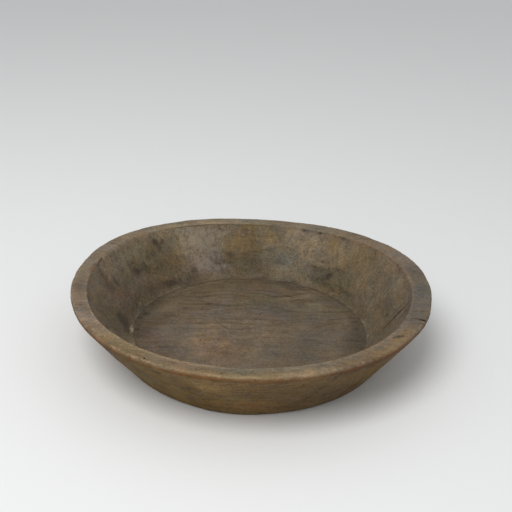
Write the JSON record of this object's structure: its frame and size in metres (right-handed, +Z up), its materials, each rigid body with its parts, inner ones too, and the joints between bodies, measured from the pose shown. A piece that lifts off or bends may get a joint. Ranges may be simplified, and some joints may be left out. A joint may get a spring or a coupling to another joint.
{
  "type": "dough bowl",
  "caption": "Shallow round dough bowl carved from one block of wood, with leaning walls, a broad flat rim, a flat floor and a planed foot.",
  "frame": {"origin": "middle of the bowl's outline, on the surface that its foot stands on", "axes": "+Z up, out of the hollow; +X along the wood's grain; the pictured side faces -Y"},
  "size_m": [0.5598, 0.5526, 0.1082],
  "materials": {
    "aged_wood": "dry, worn and waxed brown wood, matt, with straight grain along X"
  },
  "bodies": {
    "root": {"bowl": "aged_wood"}
  },
  "joints": []
}
